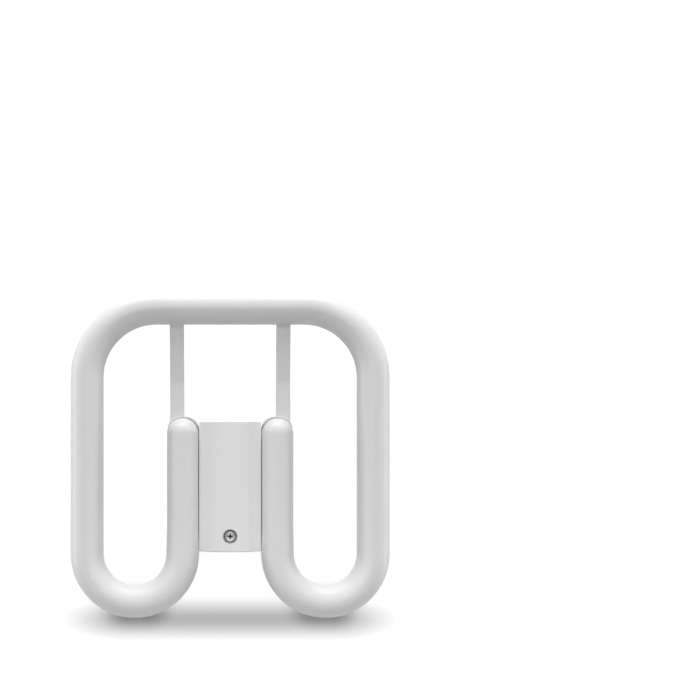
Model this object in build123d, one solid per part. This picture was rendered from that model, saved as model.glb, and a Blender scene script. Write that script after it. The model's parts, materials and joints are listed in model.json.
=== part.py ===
from build123d import *
from math import atan2, cos, degrees, pi, sin, sqrt
import os

# Square tube lamp with a recessed two-pin cap, in millimetres.
# The lamp lies on the flat rear of its cap. X runs across it, Y from the two bends up to the
# crossbar, and Z out of its lit side. The origin is on the rear face, in the middle of the square.

# Overall size
overall_width = 138.0
overall_height = 141.0
overall_depth = 27.1

# Tube
tube_diameter = 14.2
leg_diameter = 13.66
tube_wall = 1.2
corner_radius = 30.0
leg_spacing = 41.0
leg_top_y = 15.88
leg_taper_length = 12.0
lap_depth = 1.0
lap_wall = 0.6
lap_clearance = 0.08

# Light board, its packages and the channel that carries it
board_width = 8.0
board_thickness = 1.0
board_drop = 3.8
board_side_clearance = 0.1
board_end_gap = 0.5
ledge_width = 1.0
trough_depth = 0.9
channel_overrun = 2.0
led_pitch = 9.0
led_length = 3.5
led_width = 2.8
led_height = 0.8

# Cap
cap_length = 56.0
cap_top_y = 14.3
cap_wall = 1.5
cap_corner = 1.2
cap_edge = 1.0
leg_gap = 0.25
groove_clearance = 0.1
cover_joint_z = 20.5

# Saddles behind the legs
saddle_width = 13.3
saddle_top_y = 16.6
saddle_corner = 5.0
saddle_rear_z = 7.0
saddle_front_z = 16.5
saddle_wall = 1.5
saddle_rib_thickness = 1.2
saddle_rib_pitch = 12.0
peg_radius = 1.5
peg_clearance = 0.05
peg_length = 3.6
peg_pitch = 24.0

# Support arms
arm_x = 23.4
arm_width = 6.0
arm_wall = 1.4
arm_front_z = 12.5
arm_fold_y = 32.0
arm_fold_radius = 8.0
arm_tip_z = 16.0
arm_tip_inset = 6.4
arm_reach = 6.2
cradle_lip_z = 15.0
cradle_rear_z = 9.3

# Cover
crease_x = 8.4
crease_z = 24.0
crest_z = 25.5
flank_z = 21.8
cover_edge = 1.3
lip_wall = 0.65
lip_depth = 1.5
lip_clearance = 0.05

# Cover screw
screw_from_bottom = 6.7
screw_radius = 1.3
screw_clearance = 0.02
screw_length = 14.0
screw_head_radius = 2.5
screw_head_height = 1.9
screw_head_edge = 0.6
recess_length = 3.0
recess_width = 0.9
recess_depth = 1.2
recess_draft = 12.0
counterbore_radius = 3.1
counterbore_z = 22.3
screw_pass_radius = 1.7
boss_wall = 1.2
boss_radius = 3.0
boss_joint_z = 20.0

# Recessed well and contact pins
well_width = 24.0
well_height = 12.0
well_corner = 2.5
well_depth = 12.0
well_wall = 1.2
pin_spacing = 8.0
pin_radius = 1.2
pin_recess = 1.5
pin_nose = 0.6
pin_neck_radius = 0.9
pin_collar_radius = 1.9
pin_collar_height = 0.8
pin_tail_radius = 0.7
pin_tail_height = 0.7

# Driver board
driver_thickness = 1.2
driver_clearance = 0.3
driver_boss_gap = 1.5
driver_hole_clearance = 0.05
driver_rest_width = 2.0
driver_rest_depth = 1.0

# Driver components: the tall ones hang under the board, the flat ones lie on it
solder_gap = 0.3
component_lead_radius = 0.3
component_edge = 0.5
choke_y = -23.0
choke_x = -5.2
choke_core_width = 10.2
choke_core_depth = 4.8
choke_core_height = 10.2
choke_limb = 1.3
choke_centre_limb = 2.6
bobbin_clearance = 0.1
bobbin_wall = 0.5
bobbin_flange = 0.6
winding_height = 1.5
winding_inset = 0.3
can_groove_drop = 1.8
can_groove_depth = 0.4
smoothing_radius = 4.0
smoothing_height = 11.3
smoothing_x = 6.2
smoothing_y = -24.2
output_cap_radius = 3.15
output_cap_height = 10.8
output_cap_x = -6.6
output_cap_y = -12.3
film_width = 10.0
film_thickness = 4.6
film_height = 9.0
film_x = 5.0
film_y = -14.2
film_lead_spacing = 7.5
rectifier_width = 4.8
rectifier_length = 4.0
rectifier_height = 2.4
rectifier_leg_pitch = 2.54
rectifier_leg_count = 2
rectifier_x = 0.0
rectifier_y = 6.8
chip_width = 4.0
chip_length = 5.0
chip_height = 1.6
chip_x = -5.0
chip_y = -14.5
chip_leg_count = 4
chip_leg_pitch = 1.27
gull_width = 0.45
gull_thickness = 0.25
gull_rise = 0.5
gull_root = 0.25
gull_shoulder = 0.5
gull_reach = 1.25
package_standoff = 0.125
package_draft = 7.0
fuse_radius = 1.5
fuse_length = 8.0
fuse_x = 8.0
fuse_y = -3.0
fuse_lead_span = 11.5
surge_radius = 3.6
surge_thickness = 3.2
surge_x = 4.5
surge_y = -13.5
surge_lead_span = 5.0
surge_edge = 1.2
diode_radius = 1.3
diode_length = 5.0
diode_x = -8.0
diode_y = -24.0
diode_lead_span = 8.5

# Supply leads
lead_diameter = 0.9
lead_y = 6.0
lead_inset = 2.4
lead_bend = 2.0
lead_overlap = 1.3
lead_hole_radius = 0.8

# Places that follow from the sizes above
tube_radius = tube_diameter / 2
leg_radius = leg_diameter / 2
tube_z = overall_depth - tube_radius
crossbar_y = overall_height / 2 - tube_radius
side_x = overall_width / 2 - tube_radius
leg_x = leg_spacing / 2
corner_x = side_x - corner_radius
corner_y = crossbar_y - corner_radius
bend_radius = (side_x - leg_x) / 2
bend_x = (side_x + leg_x) / 2
bend_y = bend_radius - crossbar_y
dome_y = leg_top_y - leg_radius
leg_start_y = bend_y + leg_taper_length
corner_end = corner_x + corner_radius * pi / 2
side_end = corner_end + corner_y - bend_y
bend_end = side_end + bend_radius * pi
half_length = bend_end + dome_y - bend_y

board_bottom_z = tube_z - board_drop
board_top_z = board_bottom_z + board_thickness

cap_bottom_y = cap_top_y - cap_length
cap_half_width = leg_x - leg_radius - leg_gap
cavity_half_width = cap_half_width - cap_wall
cavity_top_y = cap_top_y - cap_wall
cavity_bottom_y = cap_bottom_y + cap_wall
screw_y = cap_bottom_y + screw_from_bottom

well_roof_z = well_depth + well_wall
pin_x = pin_spacing / 2
driver_bottom_z = well_roof_z + pin_collar_height
driver_top_z = driver_bottom_z + driver_thickness
driver_half_width = cavity_half_width - driver_clearance
driver_end_y = cavity_top_y - driver_clearance
driver_start_y = screw_y + boss_radius + driver_boss_gap
lead_x = driver_half_width - lead_inset
lead_end_z = board_top_z + lead_diameter / 2
lead_z = max(lead_end_z, driver_top_z + lead_diameter)
far = overall_width + overall_height
overcut = 1.0
north = Vector(0, 1, 0)


def block(half_width, low_y, high_y, low_z, high_z, corner=0.0, centre_x=0.0):
    """Upright block with rounded corners in plan."""
    width = 2 * half_width
    length = high_y - low_y
    plan = RectangleRounded(width, length, corner) if corner else Rectangle(width, length)
    return Pos(centre_x, (low_y + high_y) / 2, low_z) * extrude(plan, high_z - low_z)


def rod(x, y, low_z, high_z, radius):
    """Upright round bar."""
    return Pos(x, y, (low_z + high_z) / 2) * Cylinder(radius, high_z - low_z)


def slab(low_z, high_z):
    """Everything between two heights."""
    return block(far, -far, far, low_z, high_z)


def tube_plane(x, y, heading):
    """Plane across the tube: its Y is the lamp's Z, and it faces along the heading."""
    return Plane(origin=(x, y, tube_z), x_dir=Vector(0, 0, 1).cross(heading), z_dir=heading)


def follow_tube(section, leg_end_y, dome, taper=None):
    """Carry a section along the whole tube: section(radius) gives the sketch for a tube radius."""
    east = Vector(1, 0, 0)
    south = Vector(0, -1, 0)
    wide = section(tube_radius)
    narrow = section(leg_radius)
    corner_axis = Axis((corner_x, corner_y, 0), (0, 0, -1))
    bend_axis = Axis((bend_x, bend_y, 0), (0, 0, -1))
    taper_ends = [tube_plane(leg_x, bend_y, north) * wide, tube_plane(leg_x, leg_start_y, north) * narrow]
    pieces = [
        extrude(tube_plane(0, crossbar_y, east) * wide, corner_x, dir=east),
        revolve(tube_plane(corner_x, crossbar_y, east) * wide, corner_axis, 90),
        extrude(tube_plane(side_x, corner_y, south) * wide, corner_y - bend_y, dir=south),
        revolve(tube_plane(side_x, bend_y, south) * wide, bend_axis, 180),
        taper or loft(taper_ends, ruled=True),
        extrude(tube_plane(leg_x, leg_start_y, north) * narrow, leg_end_y - leg_start_y, dir=north),
    ]
    if dome:
        half = narrow & Pos(far / 2, 0) * Rectangle(far, far)
        dome_axis = Axis((leg_x, dome_y, 0), (0, 0, -1))
        pieces.append(revolve(tube_plane(leg_x, dome_y, north) * half, dome_axis, 180))
    right = pieces[0] + pieces[1:]
    return right + mirror(right, about=Plane.YZ)


def tube_envelope(growth):
    """The outside of the tube with its two domes, grown all round."""
    cone = Cone(tube_radius + growth, leg_radius + growth, leg_taper_length,
                align=(Align.CENTER, Align.CENTER, Align.MIN))
    taper = tube_plane(leg_x, bend_y, north) * cone
    return follow_tube(lambda radius: Circle(radius + growth), dome_y, True, taper)


def lap_core(inset):
    """Flat bar that follows the tube just inside the lap, its sides inset from the tube's own."""
    height = 4 * lap_depth
    return follow_tube(lambda radius: Rectangle(2 * (radius - inset), height), dome_y, True)


def station(distance):
    """Point and heading on the right half's centre line, measured from the crossbar's middle."""
    if distance < corner_x:
        return Vector(distance, crossbar_y), Vector(1, 0, 0)
    if distance < corner_end:
        turn = (distance - corner_x) / corner_radius
        point = Vector(corner_x + corner_radius * sin(turn), corner_y + corner_radius * cos(turn))
        return point, Vector(cos(turn), -sin(turn), 0)
    if distance < side_end:
        return Vector(side_x, corner_y - (distance - corner_end)), Vector(0, -1, 0)
    if distance < bend_end:
        turn = (distance - side_end) / bend_radius
        point = Vector(bend_x + bend_radius * cos(turn), bend_y - bend_radius * sin(turn))
        return point, Vector(-sin(turn), -cos(turn), 0)
    return Vector(leg_x, bend_y + distance - bend_end), Vector(0, 1, 0)


def both_sides(shapes):
    """The shapes of the right half and their mirror images, as one list."""
    return list(shapes) + [mirror(shape, about=Plane.YZ) for shape in shapes]


def board_section(radius):
    """Section of the light board, the same all along the tube."""
    return Pos(0, -board_drop + board_thickness / 2) * Rectangle(board_width, board_thickness)


def channel_section(radius):
    """Section of the rear half's inside: two ledges carry the board over a trough."""
    inner = radius - tube_wall
    board_top = board_thickness - board_drop
    cheek = board_width / 2 + board_side_clearance
    trough = board_width / 2 - ledge_width
    right = [
        (inner, lap_depth),
        (inner, 0),
        (sqrt(inner ** 2 - board_top ** 2), board_top),
        (cheek, board_top),
        (cheek, -board_drop),
        (trough, -board_drop),
        (trough, -board_drop - trough_depth),
    ]
    left = [(-x, z) for x, z in reversed(right)]
    return make_face(Polyline(right + left, close=True))


def pegs(radius):
    """Locating pegs behind the legs, or with a larger radius the holes that take them."""
    top_z = tube_z - leg_radius + tube_wall / 2
    first_y = cap_bottom_y + peg_pitch / 2
    steps = [first_y, first_y + peg_pitch]
    return both_sides([rod(leg_x, y, top_z - peg_length, top_z, radius) for y in steps])


def lead_ports():
    """Holes for the two leads, through the cap's side walls and into the legs."""
    start = cavity_half_width - overcut
    hole = Rot(0, 90, 0) * Cylinder(lead_hole_radius, leg_x - start)
    return both_sides([Pos((start + leg_x) / 2, lead_y, lead_z) * hole])


def tube_diffuser():
    """Opal front half of the tube with both domed ends, and the lap's outer lip below its joint."""
    front = tube_envelope(0) & slab(tube_z - lap_depth, overall_depth)
    front -= tube_envelope(-tube_wall) & slab(tube_z, overall_depth)
    return front - (lap_core(lap_wall) & slab(0, tube_z))


def tube_back():
    """Rear half of the tube, with the board's channel, pegs for the cap and ports for the leads."""
    step_z = tube_z - lap_depth - lap_clearance
    shell = tube_envelope(0) & slab(0, tube_z)
    shell -= slab(step_z, overall_depth) - lap_core(lap_wall + lap_clearance)
    shell -= follow_tube(channel_section, dome_y + channel_overrun, False)
    return shell + pegs(peg_radius) - lead_ports()


def led_board():
    """One narrow board that follows the tube from end to end."""
    return follow_tube(board_section, dome_y - board_end_gap, False)


def led_chips():
    """Light-emitting packages at an even pitch along the board."""
    package = Box(led_length, led_width, led_height)
    chips = []
    for index in range(int(half_length / led_pitch)):
        point, heading = station((index + 0.5) * led_pitch)
        turn = degrees(atan2(heading.Y, heading.X))
        chips.append(Pos(point.X, point.Y, board_top_z + led_height / 2) * Rot(0, 0, turn) * package)
    return Compound(children=both_sides(chips))


def cover_profile():
    """Front of the cap seen along Y: an arch between two flat flanks, as a sketch."""
    edges = Polyline(
        (-crease_x, crease_z),
        (-cap_half_width, flank_z),
        (-cap_half_width, 0),
        (cap_half_width, 0),
        (cap_half_width, flank_z),
        (crease_x, crease_z),
    )
    return make_face(edges + ThreePointArc((-crease_x, crease_z), (0, crest_z), (crease_x, crease_z)))


def along_cap(profile, low_y, high_y):
    """Extrude a sketch of X and Z along the cap."""
    return extrude(Plane(origin=(0, low_y, 0), x_dir=(1, 0, 0), z_dir=(0, -1, 0)) * profile,
                   high_y - low_y, dir=(0, 1, 0))


def cavity_block(low_z, high_z):
    """The cap's inside outline, between two heights."""
    return block(cavity_half_width, cavity_bottom_y, cavity_top_y, low_z, high_z, cap_corner / 2)


def cap_cover():
    """Arched front cover, with its locating lip and the sunk seat of the screw.

    The lip is notched where a lead comes as high as that.
    """
    outer = along_cap(cover_profile(), cap_bottom_y, cap_top_y)
    ends = outer.edges().group_by(Axis.Y)
    rims = [edge for edge in ends[0] + ends[-1] if edge.center().Z > flank_z]
    outer = fillet(rims, cover_edge)
    hollow_profile = offset(cover_profile(), -cap_wall, kind=Kind.INTERSECTION)
    hollow = along_cap(hollow_profile, cavity_bottom_y, cavity_top_y)
    lip_half_width = cavity_half_width + lip_wall
    lip = block(lip_half_width, cavity_bottom_y - lip_wall, cavity_top_y + lip_wall,
                cover_joint_z - lip_depth, cover_joint_z, cap_corner)
    boss = rod(0, screw_y, boss_joint_z, crest_z, counterbore_radius + boss_wall)
    cavity = cavity_block(0, cover_joint_z)
    cover = (outer & slab(cover_joint_z, crest_z)) + (lip - cavity) - hollow
    cover += boss & along_cap(offset(cover_profile(), -cap_wall / 2), cap_bottom_y, cap_top_y)
    cover -= rod(0, screw_y, counterbore_z, crest_z + overcut, counterbore_radius)
    cover -= rod(0, screw_y, boss_joint_z - overcut, counterbore_z + overcut, screw_pass_radius)
    return cover - lead_ports()


def cap_cavity():
    """Space inside the cap: everything within its walls except what stands up in it."""
    well_half = well_height / 2 + well_wall
    cavity = cavity_block(cap_wall, cover_joint_z + overcut)
    cavity -= block(cap_half_width, -well_half, well_half, 0, well_roof_z)
    cavity -= rod(0, screw_y, 0, boss_joint_z, boss_radius)
    half = driver_rest_width / 2
    rest_ys = (driver_start_y + driver_rest_width, -well_half - driver_rest_width)
    rests = [block(driver_rest_depth, y - half, y + half, 0, driver_bottom_z, centre_x=cavity_half_width)
             for y in rest_ys]
    return cavity - both_sides(rests)


def saddle():
    """Hollow ribbed wing behind the right leg, its end rounded round the leg's dome."""
    half_width = saddle_width / 2
    wing = block(half_width, cap_bottom_y, saddle_top_y, saddle_rear_z, saddle_front_z,
                 saddle_corner, leg_x)
    web_half = (leg_x - cavity_half_width) / 2
    wing += block(web_half, cap_bottom_y, dome_y, saddle_rear_z, saddle_front_z,
                  centre_x=cavity_half_width + web_half)
    pocket = block(half_width - saddle_wall, cap_bottom_y + saddle_wall, saddle_top_y - saddle_wall,
                   saddle_rear_z, saddle_front_z, saddle_corner - saddle_wall, leg_x)
    half_rib = saddle_rib_thickness / 2
    for index in range(int((cap_length - 2 * saddle_wall) / saddle_rib_pitch)):
        y = cap_bottom_y + (index + 1) * saddle_rib_pitch
        pocket -= block(half_width, y - half_rib, y + half_rib, saddle_rear_z, saddle_front_z,
                        centre_x=leg_x)
    return wing, pocket


def arm():
    """Right support arm: a channel open to the rear that leans forward to the crossbar's cradle."""
    tip_y = crossbar_y - arm_tip_inset
    end_y = crossbar_y + arm_reach
    lean = (arm_tip_z - arm_front_z) / (tip_y - arm_fold_y)
    side = make_face(Polyline(
        (dome_y, arm_front_z),
        (arm_fold_y, arm_front_z),
        (tip_y, arm_tip_z),
        (end_y, cradle_lip_z),
        (end_y, (cradle_lip_z + cradle_rear_z) / 2),
        ((crossbar_y + end_y) / 2, cradle_rear_z),
        (arm_fold_y, saddle_rear_z),
        (dome_y, saddle_rear_z),
        close=True,
    ))
    fold = side.vertices().sort_by_distance((arm_fold_y, arm_front_z))[0]
    side = fillet(fold, arm_fold_radius)
    web_z = arm_front_z - arm_wall
    core = make_face(Polyline(
        (saddle_top_y, web_z),
        (arm_fold_y, web_z),
        (tip_y - arm_wall, web_z + lean * (tip_y - arm_wall - arm_fold_y)),
        (tip_y, 0),
        (saddle_top_y, 0),
        close=True,
    ))
    channel = extrude(Plane.YZ * side, arm_width / 2, both=True)
    channel -= extrude(Plane.YZ * core, arm_width / 2 - arm_wall, both=True)
    return Pos(arm_x, 0, 0) * channel


def cap_base():
    """Rear moulding: the box with its pin well, a saddle for each leg and an arm beside each saddle."""
    body = block(cap_half_width, cap_bottom_y, cap_top_y, 0, cover_joint_z, cap_corner)
    body = fillet(body.edges().group_by(Axis.Z)[0], cap_edge)
    wing, pocket = saddle()
    body += both_sides([wing, arm()])
    wall_radius = tube_radius + groove_clearance + saddle_wall
    groove_wall = Rot(90, 0, 0) * Cylinder(wall_radius, far)
    body -= both_sides([pocket - Pos(leg_x, 0, tube_z) * groove_wall])
    body -= tube_envelope(groove_clearance)
    body -= cap_cavity()
    rebate_half = cavity_half_width + lip_wall + lip_clearance
    body -= block(rebate_half, cavity_bottom_y + cavity_half_width - rebate_half,
                  cavity_top_y - cavity_half_width + rebate_half,
                  cover_joint_z - lip_depth - lip_clearance, cover_joint_z + overcut, cap_corner)
    well = block(well_width / 2, -well_height / 2, well_height / 2, 0, well_depth, well_corner)
    body -= well
    body -= [rod(x, 0, 0, driver_bottom_z, pin_neck_radius) for x in (-pin_x, pin_x)]
    bore_z = counterbore_z - screw_length - screw_clearance
    body -= rod(0, screw_y, bore_z, boss_joint_z + overcut, screw_radius + screw_clearance)
    return body - pegs(peg_radius + peg_clearance) - lead_ports()


def cover_screw():
    """Self-tapping screw with a rounded cheese head and a cross recess."""
    head = rod(0, screw_y, counterbore_z, counterbore_z + screw_head_height, screw_head_radius)
    head = chamfer(head.edges().group_by(Axis.Z)[-1], screw_head_edge)
    shank = rod(0, screw_y, counterbore_z - screw_length, counterbore_z, screw_radius)
    cross = Rectangle(recess_length, recess_width) + Rectangle(recess_width, recess_length)
    top = Pos(0, screw_y, counterbore_z + screw_head_height) * cross
    return head + shank - extrude(top, recess_depth, dir=(0, 0, -1), taper=recess_draft)


def contact_pin():
    """Contact pin riveted into the well's roof: its shoulder lies under the roof, its collar over it."""
    shank = rod(pin_x, 0, pin_recess, well_depth, pin_radius)
    shank = chamfer(shank.edges().group_by(Axis.Z)[0], pin_nose)
    neck = rod(pin_x, 0, well_depth, well_roof_z, pin_neck_radius)
    collar = rod(pin_x, 0, well_roof_z, driver_bottom_z, pin_collar_radius)
    tail = rod(pin_x, 0, driver_bottom_z, driver_top_z + pin_tail_height, pin_tail_radius)
    return shank + neck + collar + tail


def driver_board():
    """Driver's board, with holes for the two pin tails."""
    board = block(driver_half_width, driver_start_y, driver_end_y, driver_bottom_z, driver_top_z,
                  cap_corner)
    hole_radius = pin_tail_radius + driver_hole_clearance
    low_z = driver_bottom_z - overcut
    high_z = driver_top_z + overcut
    return board - [rod(x, 0, low_z, high_z, hole_radius) for x in (-pin_x, pin_x)]


def supply_lead():
    """Right lead: up from the driver's board, level through its port and down to the light board.

    The bend is smaller where the driver's board lies close under the port.
    """
    bend = min(lead_bend, lead_z - driver_top_z - lead_diameter / 2)
    end_x = leg_x - board_width / 2 + lead_overlap
    route = Polyline(
        (lead_x, lead_y, driver_top_z),
        (lead_x, lead_y, lead_z - bend),
        (lead_x + bend, lead_y, lead_z),
        (leg_x - leg_radius + tube_wall, lead_y, lead_z),
        (end_x, lead_y, lead_end_z),
    )
    start = Plane(origin=(lead_x, lead_y, driver_top_z))
    return sweep(start * Circle(lead_diameter / 2), path=route, transition=Transition.RIGHT)


def two_leads(spacing, low_z, high_z):
    """A component's two upright leads."""
    return [rod(x, 0, low_z, high_z, component_lead_radius) for x in (-spacing / 2, spacing / 2)]


def hanging_can(x, y, radius, height):
    """Electrolytic can under the driver's board, with a rolled groove near its seal and two leads."""
    top_z = driver_bottom_z - solder_gap
    low_z = top_z - height
    groove_z = top_z - can_groove_drop
    profile = make_face(Polyline(
        (0, top_z),
        (radius, top_z),
        (radius, groove_z + can_groove_depth),
        (radius - can_groove_depth, groove_z),
        (radius, groove_z - can_groove_depth),
        (radius, low_z + component_edge),
        (radius - component_edge, low_z),
        (0, low_z),
        close=True,
    ))
    can = revolve(Plane.XZ * profile, Axis.Z)
    return Pos(x, y, 0) * (can + two_leads(radius, top_z - solder_gap, driver_bottom_z))


def film_capacitor():
    """Boxed film capacitor under the driver's board."""
    top_z = driver_bottom_z - solder_gap
    case = block(film_width / 2, -film_thickness / 2, film_thickness / 2, top_z - film_height, top_z)
    case = chamfer(case.edges().filter_by(Axis.Z), component_edge)
    leads = two_leads(film_lead_spacing, top_z - solder_gap, driver_bottom_z)
    return Pos(film_x, film_y, 0) * (case + leads)


def choke_place():
    """Where the choke's middle hangs under the driver's board."""
    return Pos(choke_x, choke_y, driver_bottom_z - bobbin_flange - choke_core_height / 2)


def choke_window_width():
    """Clear width on each side of the core's centre limb."""
    return (choke_core_width - 2 * choke_limb - choke_centre_limb) / 2


def choke_core():
    """Pair of ferrite halves that meet round the bobbin."""
    window_height = choke_core_height - 2 * choke_limb
    outer = Box(choke_core_width, choke_core_depth, choke_core_height)
    window = Box(choke_window_width(), choke_core_depth, window_height)
    shift = (choke_centre_limb + choke_window_width()) / 2
    core = outer - [Pos(side, 0, 0) * window for side in (-shift, shift)]
    upper = core & Pos(0, 0, choke_core_height / 2) * outer
    lower = mirror(upper, about=Plane.XY)
    return Compound(children=[choke_place() * half for half in (upper, lower)])


def bobbin_size(growth):
    """Width and depth of the bobbin's tube, grown all round."""
    extra = 2 * (bobbin_clearance + growth)
    return choke_centre_limb + extra, choke_core_depth + extra


def choke_bobbin():
    """Square spool on the centre limb, with a flange at each end and two feet up to the board."""
    inner = bobbin_size(0)
    outer = bobbin_size(bobbin_wall)
    rim = bobbin_size(bobbin_wall + winding_height)
    height = choke_core_height - 2 * choke_limb - 2 * bobbin_clearance
    spool = Box(outer[0], outer[1], height)
    flange = Box(rim[0] - 2 * bobbin_clearance, rim[1], bobbin_flange)
    shift = (height - bobbin_flange) / 2
    spool += [Pos(0, 0, z) * flange for z in (-shift, shift)]
    foot_height = choke_core_height / 2 + bobbin_flange - height / 2
    foot_y = (rim[1] + choke_core_depth) / 4
    foot = Box(outer[0], (rim[1] - choke_core_depth) / 2 - 2 * bobbin_clearance, foot_height)
    spool += [Pos(0, side, (height + foot_height) / 2) * foot for side in (-foot_y, foot_y)]
    return choke_place() * (spool - Box(inner[0], inner[1], 2 * height))


def choke_winding():
    """Copper winding between the bobbin's flanges, as one rounded coil."""
    inner = bobbin_size(bobbin_wall)
    outer = bobbin_size(bobbin_wall + winding_height - winding_inset)
    height = choke_core_height - 2 * choke_limb - 2 * bobbin_clearance - 2 * bobbin_flange
    coil = extrude(RectangleRounded(outer[0], outer[1], winding_height / 2), height / 2, both=True)
    return choke_place() * (coil - Box(inner[0], inner[1], height))


def gull_legs(body_width, leg_pitch, count):
    """Bent legs in a row on both long sides of a flat package, standing on the driver's board."""
    root = body_width / 2 - gull_root
    knee = body_width / 2 + gull_shoulder
    toe = body_width / 2 + gull_reach
    profile = make_face(Polyline(
        (root, gull_rise + gull_thickness),
        (knee, gull_rise + gull_thickness),
        (knee + gull_thickness, gull_thickness),
        (toe, gull_thickness),
        (toe, 0),
        (knee, 0),
        (knee - gull_thickness, gull_rise),
        (root, gull_rise),
        close=True,
    ))
    leg = extrude(Plane.XZ * profile, gull_width / 2, both=True)
    row = [Pos(0, (index - (count - 1) / 2) * leg_pitch, 0) * leg for index in range(count)]
    return both_sides(row)


def flat_package(x, y, width, length, height, leg_pitch, leg_count):
    """Flat moulded package lying on the driver's board on its own bent legs."""
    middle_z = gull_rise + gull_thickness / 2
    widest = Pos(0, 0, middle_z) * Rectangle(width, length)
    lower = extrude(widest, middle_z - package_standoff, dir=(0, 0, -1), taper=package_draft)
    upper = extrude(widest, height - middle_z, taper=package_draft)
    package = lower + upper + gull_legs(width, leg_pitch, leg_count)
    return Pos(x, y, driver_top_z) * package


def axial_part(x, y, radius, length, lead_span):
    """Round component lying along Y, with both leads bent down to the driver's board."""
    axis_z = driver_top_z + radius + solder_gap
    barrel = Rot(90, 0, 0) * Cylinder(radius, length)
    barrel = chamfer(barrel.edges().filter_by(GeomType.CIRCLE), component_edge)
    half = component_lead_radius
    outer_y = lead_span / 2 + half
    inner_y = lead_span / 2 - half
    right = [
        (outer_y, -radius - solder_gap),
        (outer_y, 0),
        (inner_y, half),
    ]
    left = [(-y, z) for y, z in reversed(right)]
    under = [
        (-inner_y, -radius - solder_gap),
        (-inner_y, -half),
        (inner_y, -half),
        (inner_y, -radius - solder_gap),
    ]
    lead = extrude(Plane.YZ * make_face(Polyline(right + left + under, close=True)), half, both=True)
    return Pos(x, y, axis_z) * (barrel + lead)


def surge_disc():
    """Coated disc above the driver's board, lying flat on its two leads."""
    low_z = driver_top_z + solder_gap
    disc = rod(0, 0, low_z, low_z + surge_thickness, surge_radius)
    disc = chamfer(disc.edges().filter_by(GeomType.CIRCLE), surge_edge)
    leads = two_leads(surge_lead_span, driver_top_z, low_z + surge_thickness / 2)
    return Pos(surge_x, surge_y, 0) * (disc + leads)


nodes = {
    "tube_diffuser": tube_diffuser(),
    "tube_back": tube_back(),
    "led_board": led_board(),
    "led_chips": led_chips(),
    "cap_cover": cap_cover(),
    "cap_base": cap_base(),
    "cover_screw": cover_screw(),
    "contact_pin_right": contact_pin(),
    "contact_pin_left": mirror(contact_pin(), about=Plane.YZ),
    "driver_board": driver_board(),
    "smoothing_capacitor": hanging_can(smoothing_x, smoothing_y, smoothing_radius, smoothing_height),
    "output_capacitor": hanging_can(output_cap_x, output_cap_y, output_cap_radius, output_cap_height),
    "film_capacitor": film_capacitor(),
    "choke_core": choke_core(),
    "choke_bobbin": choke_bobbin(),
    "choke_winding": choke_winding(),
    "bridge_rectifier": flat_package(rectifier_x, rectifier_y, rectifier_width, rectifier_length,
                                     rectifier_height, rectifier_leg_pitch, rectifier_leg_count),
    "control_chip": flat_package(chip_x, chip_y, chip_width, chip_length, chip_height,
                                 chip_leg_pitch, chip_leg_count),
    "fuse_resistor": axial_part(fuse_x, fuse_y, fuse_radius, fuse_length, fuse_lead_span),
    "output_diode": axial_part(diode_x, diode_y, diode_radius, diode_length, diode_lead_span),
    "surge_disc": surge_disc(),
    "supply_lead_negative": supply_lead(),
    "supply_lead_positive": mirror(supply_lead(), about=Plane.YZ),
}

os.makedirs("parts", exist_ok=True)
for name, shape in nodes.items():
    export_step(shape, "parts/" + name + ".step")
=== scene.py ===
import json
from math import cos, pi, radians, sin, sqrt

import bmesh
import bpy
from bpy.props import FloatProperty, FloatVectorProperty, IntProperty, PointerProperty
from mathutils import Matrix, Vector


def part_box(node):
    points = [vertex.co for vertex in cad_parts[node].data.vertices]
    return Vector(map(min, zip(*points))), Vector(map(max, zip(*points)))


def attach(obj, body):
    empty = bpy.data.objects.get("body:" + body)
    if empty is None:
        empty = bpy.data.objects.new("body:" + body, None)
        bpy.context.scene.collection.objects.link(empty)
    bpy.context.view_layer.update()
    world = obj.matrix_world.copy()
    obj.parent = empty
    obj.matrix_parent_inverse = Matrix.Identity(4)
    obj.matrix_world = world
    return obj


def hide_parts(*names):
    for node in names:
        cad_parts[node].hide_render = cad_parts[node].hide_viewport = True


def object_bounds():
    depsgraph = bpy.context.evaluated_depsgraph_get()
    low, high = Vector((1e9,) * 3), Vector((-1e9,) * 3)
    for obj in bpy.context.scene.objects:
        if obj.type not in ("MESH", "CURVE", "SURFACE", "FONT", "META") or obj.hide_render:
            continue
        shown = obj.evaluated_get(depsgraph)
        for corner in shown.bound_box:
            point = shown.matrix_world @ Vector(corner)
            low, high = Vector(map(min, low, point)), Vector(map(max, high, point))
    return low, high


bl_info = {
    "name": "Square Tube Lamp",
    "version": (1, 0, 0),
    "blender": (4, 5, 0),
    "location": "View3D > Sidebar > Square Lamp",
    "description": "Builds the visible pieces, finishes and stage of a square two-pin tube lamp",
    "category": "Object",
}

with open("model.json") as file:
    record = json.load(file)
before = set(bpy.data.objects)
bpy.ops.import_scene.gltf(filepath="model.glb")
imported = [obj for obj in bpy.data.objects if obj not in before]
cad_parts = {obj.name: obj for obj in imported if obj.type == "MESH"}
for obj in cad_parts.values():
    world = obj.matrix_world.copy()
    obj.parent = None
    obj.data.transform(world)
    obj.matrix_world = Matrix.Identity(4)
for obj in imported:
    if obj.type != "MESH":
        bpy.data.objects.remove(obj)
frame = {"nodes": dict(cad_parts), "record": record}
cad_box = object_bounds()
tube_low, tube_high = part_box("tube_diffuser")
cap_low, cap_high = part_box("cap_cover")
pin_low, pin_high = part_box("contact_pin_right")
screw_low, screw_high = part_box("cover_screw")

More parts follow.
